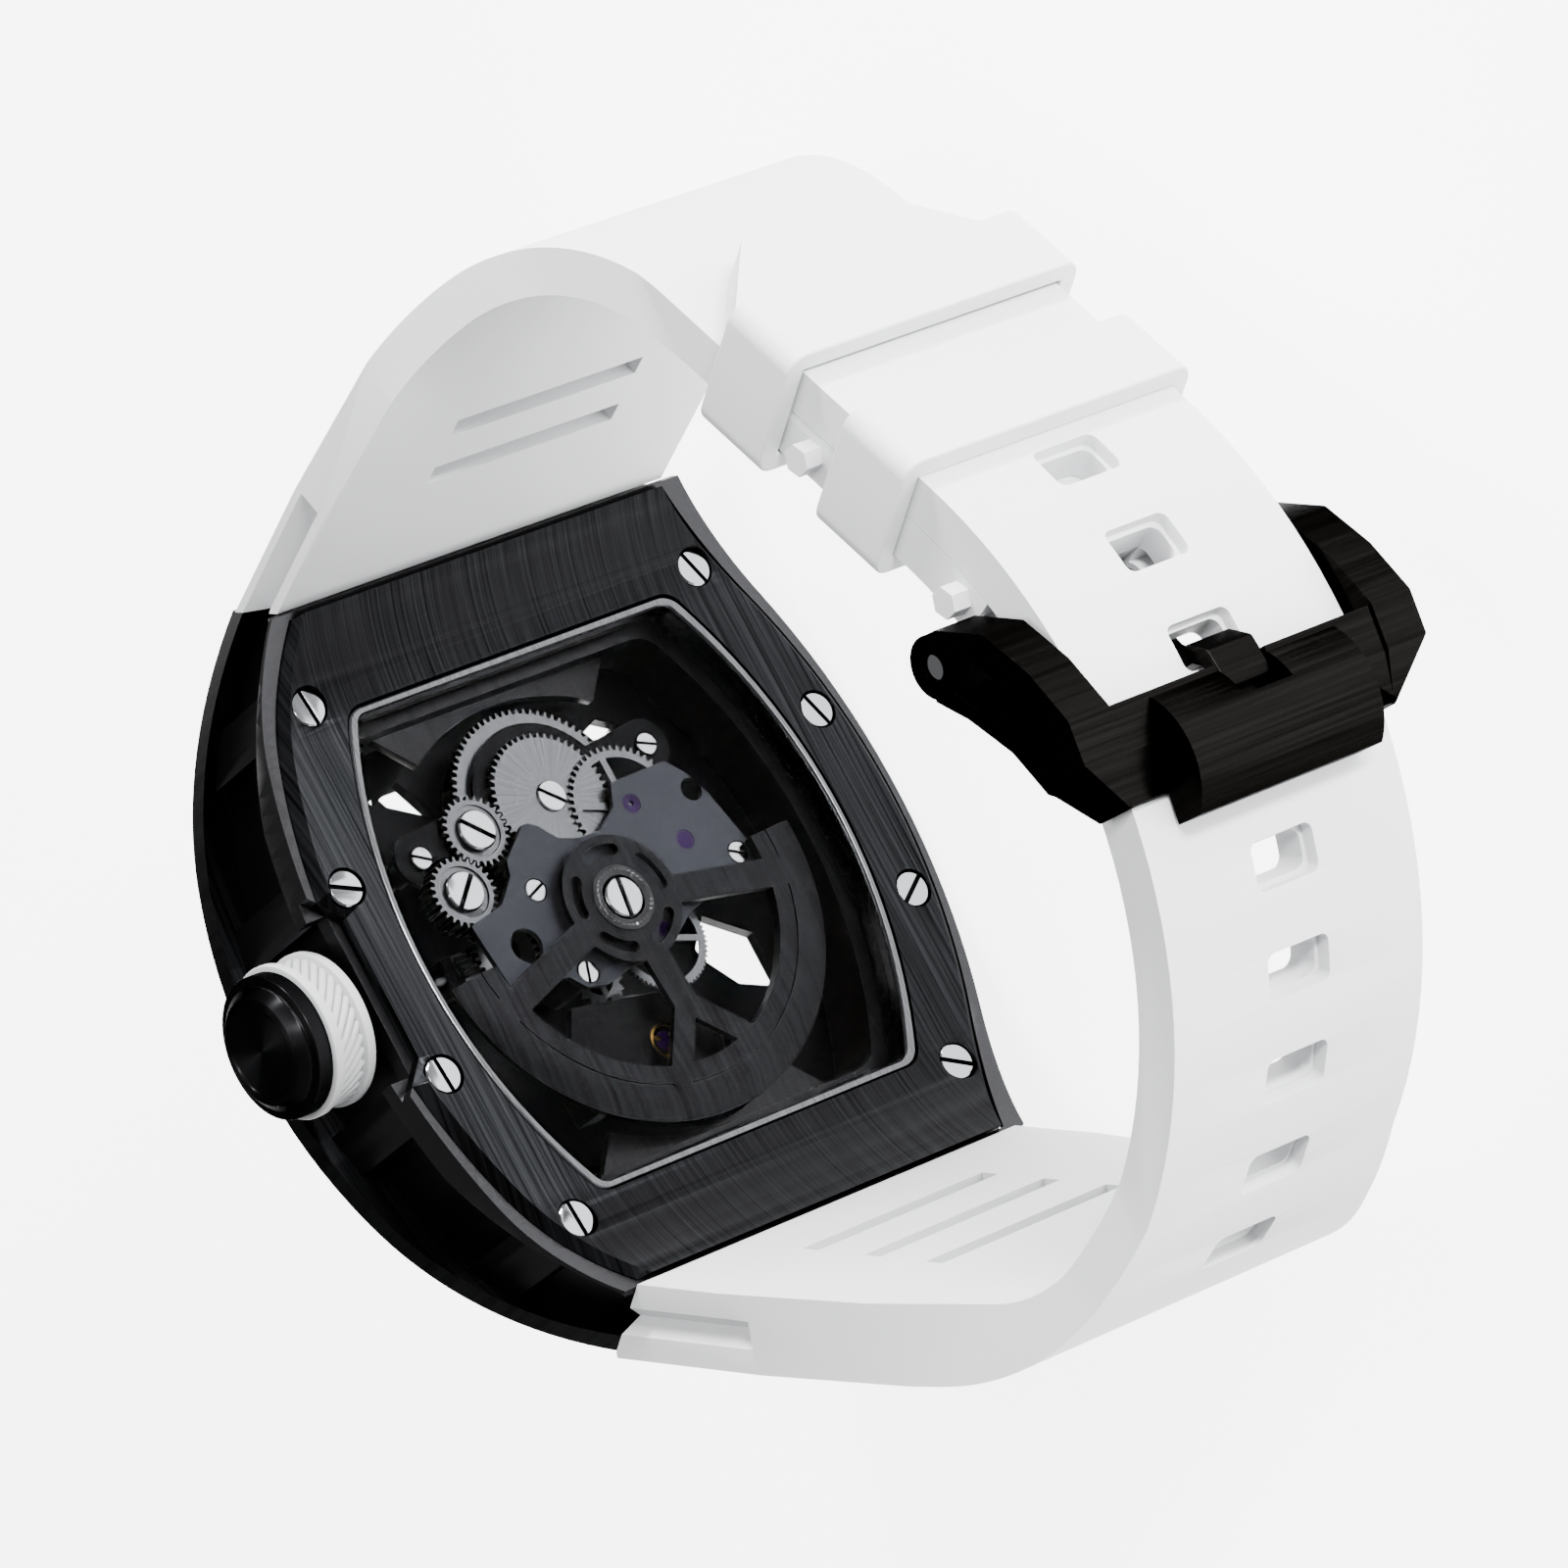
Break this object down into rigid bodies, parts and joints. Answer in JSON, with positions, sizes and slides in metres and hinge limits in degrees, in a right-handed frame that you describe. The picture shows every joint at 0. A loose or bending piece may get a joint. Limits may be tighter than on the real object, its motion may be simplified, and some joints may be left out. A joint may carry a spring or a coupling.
{
  "type": "tonneau wristwatch",
  "caption": "Black tonneau wristwatch on a closed white rubber strap, with a clear back over a skeleton automatic movement.",
  "frame": {"origin": "centre of the back crystal's outer face", "axes": "+X from 12 o'clock to 6 o'clock, +Y out of the back towards the wrist, +Z out through the crown"},
  "size_m": [0.0738, 0.074, 0.0499],
  "materials": {
    "black_case_steel": "black coated, straight brushed",
    "black_flank": "black coated, matt blasted",
    "polished_steel": "mirror polished",
    "crystal": "clear sapphire glass",
    "seal": "soft seal",
    "white_seal": "white seal",
    "white_rubber": "matt moulded rubber",
    "buckle_black": "black coated, brushed",
    "steel": "satin steel",
    "dark_plate": "dark coated, fine blasted",
    "grey_bridge": "grey coated, fine blasted",
    "rotor_grey": "dark grey, brushed",
    "brass": "satin brass",
    "gold": "polished gold plate",
    "jewel": "polished synthetic ruby, violet",
    "dial_black": "matt black",
    "light_paint": "white luminous paint"
  },
  "bodies": {
    "case": {"back_crystal": "crystal", "back_gasket": "seal", "back_window_ring": "polished_steel", "balance_cock": "dark_plate", "barrel_bridge": "dark_plate", "bezel": "black_case_steel", "bezel_screws": "polished_steel", "bridge_screws": "polished_steel", "buckle_pin": "steel", "case_back": "black_case_steel", "case_back_screws": "polished_steel", "case_middle": "black_flank", "chapter_ring": "dial_black", "crown_tube": "polished_steel", "dial": "dial_black", "dial_markers": "light_paint", "escape_wheel": "steel", "fixed_keeper": "white_rubber", "front_crystal": "crystal", "front_gasket": "white_seal", "hairspring": "steel", "jewels": "jewel", "main_plate": "dark_plate", "movement_ring": "dark_plate", "pallet_fork": "steel", "rotor_axle": "polished_steel", "shock_spring": "gold", "strap_12": "white_rubber", "strap_6": "white_rubber", "strap_bars": "steel", "train_bridge": "grey_bridge", "winding_wheel_axles": "polished_steel"},
    "rotor_weight": {"rotor": "rotor_grey", "rotor_bearing": "polished_steel"},
    "winding_gear": {"winding_pinion": "steel"},
    "crown": {"crown_cap": "black_case_steel", "crown_grip": "white_rubber", "crown_gasket": "seal", "winding_stem": "steel"},
    "crown_gear": {"crown_wheel": "steel"},
    "transfer_gear": {"transfer_wheel": "steel"},
    "intermediate_gear": {"intermediate_wheel": "steel"},
    "ratchet": {"ratchet_wheel": "steel", "ratchet_screw": "polished_steel", "barrel_arbor": "steel"},
    "reduction_gear": {"reduction_wheel": "steel"},
    "minutes": {"centre_wheel": "brass", "cannon_pinion": "steel", "minute_hand": "light_paint"},
    "third_gear": {"third_wheel": "brass"},
    "seconds": {"fourth_wheel": "brass", "second_hand": "light_paint"},
    "barrel_body": {"barrel": "steel"},
    "minute_gear": {"minute_wheel": "brass"},
    "hours": {"hour_wheel": "brass", "hour_hand": "light_paint"},
    "balance": {"balance_wheel": "brass"},
    "sliding_loop": {"free_keeper": "white_rubber"},
    "buckle": {"buckle_frame": "buckle_black"},
    "tongue": {"buckle_tongue": "buckle_black"}
  },
  "joints": [
    {"name": "rotor_spin", "type": "hinge", "parent": "case", "child": "rotor_weight", "pos_m": [0, -0.005, 0], "axis": [0, 1, 0], "continuous": true},
    {"name": "crown_turn", "type": "hinge", "parent": "case", "child": "winding_gear", "pos_m": [0, -0.0059, 0.0105], "axis": [0, 0, 1], "continuous": true},
    {"name": "crown_pull", "type": "slide", "parent": "winding_gear", "child": "crown", "axis": [0, 0, 1], "range_m": [0, 0.001]},
    {"name": "crown_wheel_turn", "type": "hinge", "parent": "case", "child": "crown_gear", "pos_m": [0, -0.005, 0.00789], "axis": [0, 1, 0], "continuous": true},
    {"name": "transfer_turn", "type": "hinge", "parent": "case", "child": "transfer_gear", "pos_m": [-0.00426, -0.005, 0.00946], "axis": [0, 1, 0], "continuous": true},
    {"name": "intermediate_turn", "type": "hinge", "parent": "case", "child": "intermediate_gear", "pos_m": [-0.00763, -0.005, 0.00642], "axis": [0, 1, 0], "continuous": true},
    {"name": "ratchet_turn", "type": "hinge", "parent": "case", "child": "ratchet", "pos_m": [-0.00798, -0.005, -0.00005], "axis": [0, 1, 0], "continuous": true},
    {"name": "reduction_turn", "type": "hinge", "parent": "case", "child": "reduction_gear", "pos_m": [-0.0056, -0.005, -0.00484], "axis": [0, 1, 0], "continuous": true},
    {"name": "minutes_turn", "type": "hinge", "parent": "case", "child": "minutes", "pos_m": [0, -0.005, 0], "axis": [0, 1, 0], "continuous": true},
    {"name": "third_turn", "type": "hinge", "parent": "case", "child": "third_gear", "pos_m": [0.00281, -0.005, -0.00271], "axis": [0, 1, 0], "continuous": true},
    {"name": "seconds_turn", "type": "hinge", "parent": "case", "child": "seconds", "pos_m": [0, -0.005, 0], "axis": [0, 1, 0], "continuous": true},
    {"name": "barrel_turn", "type": "hinge", "parent": "case", "child": "barrel_body", "pos_m": [-0.00798, -0.005, -0.00005], "axis": [0, 1, 0], "continuous": true},
    {"name": "minute_wheel_turn", "type": "hinge", "parent": "case", "child": "minute_gear", "pos_m": [-0.00208, -0.005, 0.0012], "axis": [0, 1, 0], "continuous": true},
    {"name": "hours_turn", "type": "hinge", "parent": "case", "child": "hours", "pos_m": [0, -0.005, 0], "axis": [0, 1, 0], "continuous": true},
    {"name": "balance_swing", "type": "hinge", "parent": "case", "child": "balance", "pos_m": [0.0091, -0.005, 0.0009], "axis": [0, 1, 0], "range_deg": [-270, 270]},
    {"name": "keeper_slide", "type": "slide", "parent": "case", "child": "sliding_loop", "axis": [-0.8957, -0.4446, 0], "range_m": [-0.001, 0.0045]},
    {"name": "buckle_hinge", "type": "hinge", "parent": "case", "child": "buckle", "pos_m": [0.0043, 0.0518, 0], "axis": [0, 0, 1], "range_deg": [0, 4]},
    {"name": "tongue_hinge", "type": "hinge", "parent": "buckle", "child": "tongue", "pos_m": [0.0043, 0.0518, 0], "axis": [0, 0, 1], "range_deg": [0, 5]}
  ],
  "couplings": [
    {"joint": "crown_wheel_turn", "follows": "crown_turn", "ratio": -0.5},
    {"joint": "transfer_turn", "follows": "crown_turn", "ratio": 0.5},
    {"joint": "intermediate_turn", "follows": "crown_turn", "ratio": -0.5},
    {"joint": "ratchet_turn", "follows": "crown_turn", "ratio": 0.26923},
    {"joint": "reduction_turn", "follows": "crown_turn", "ratio": -1},
    {"joint": "third_turn", "follows": "minutes_turn", "ratio": -7.5},
    {"joint": "seconds_turn", "follows": "minutes_turn", "ratio": 60},
    {"joint": "barrel_turn", "follows": "minutes_turn", "ratio": -0.26316},
    {"joint": "minute_wheel_turn", "follows": "minutes_turn", "ratio": -0.33333},
    {"joint": "hours_turn", "follows": "minutes_turn", "ratio": 0.083333}
  ]
}
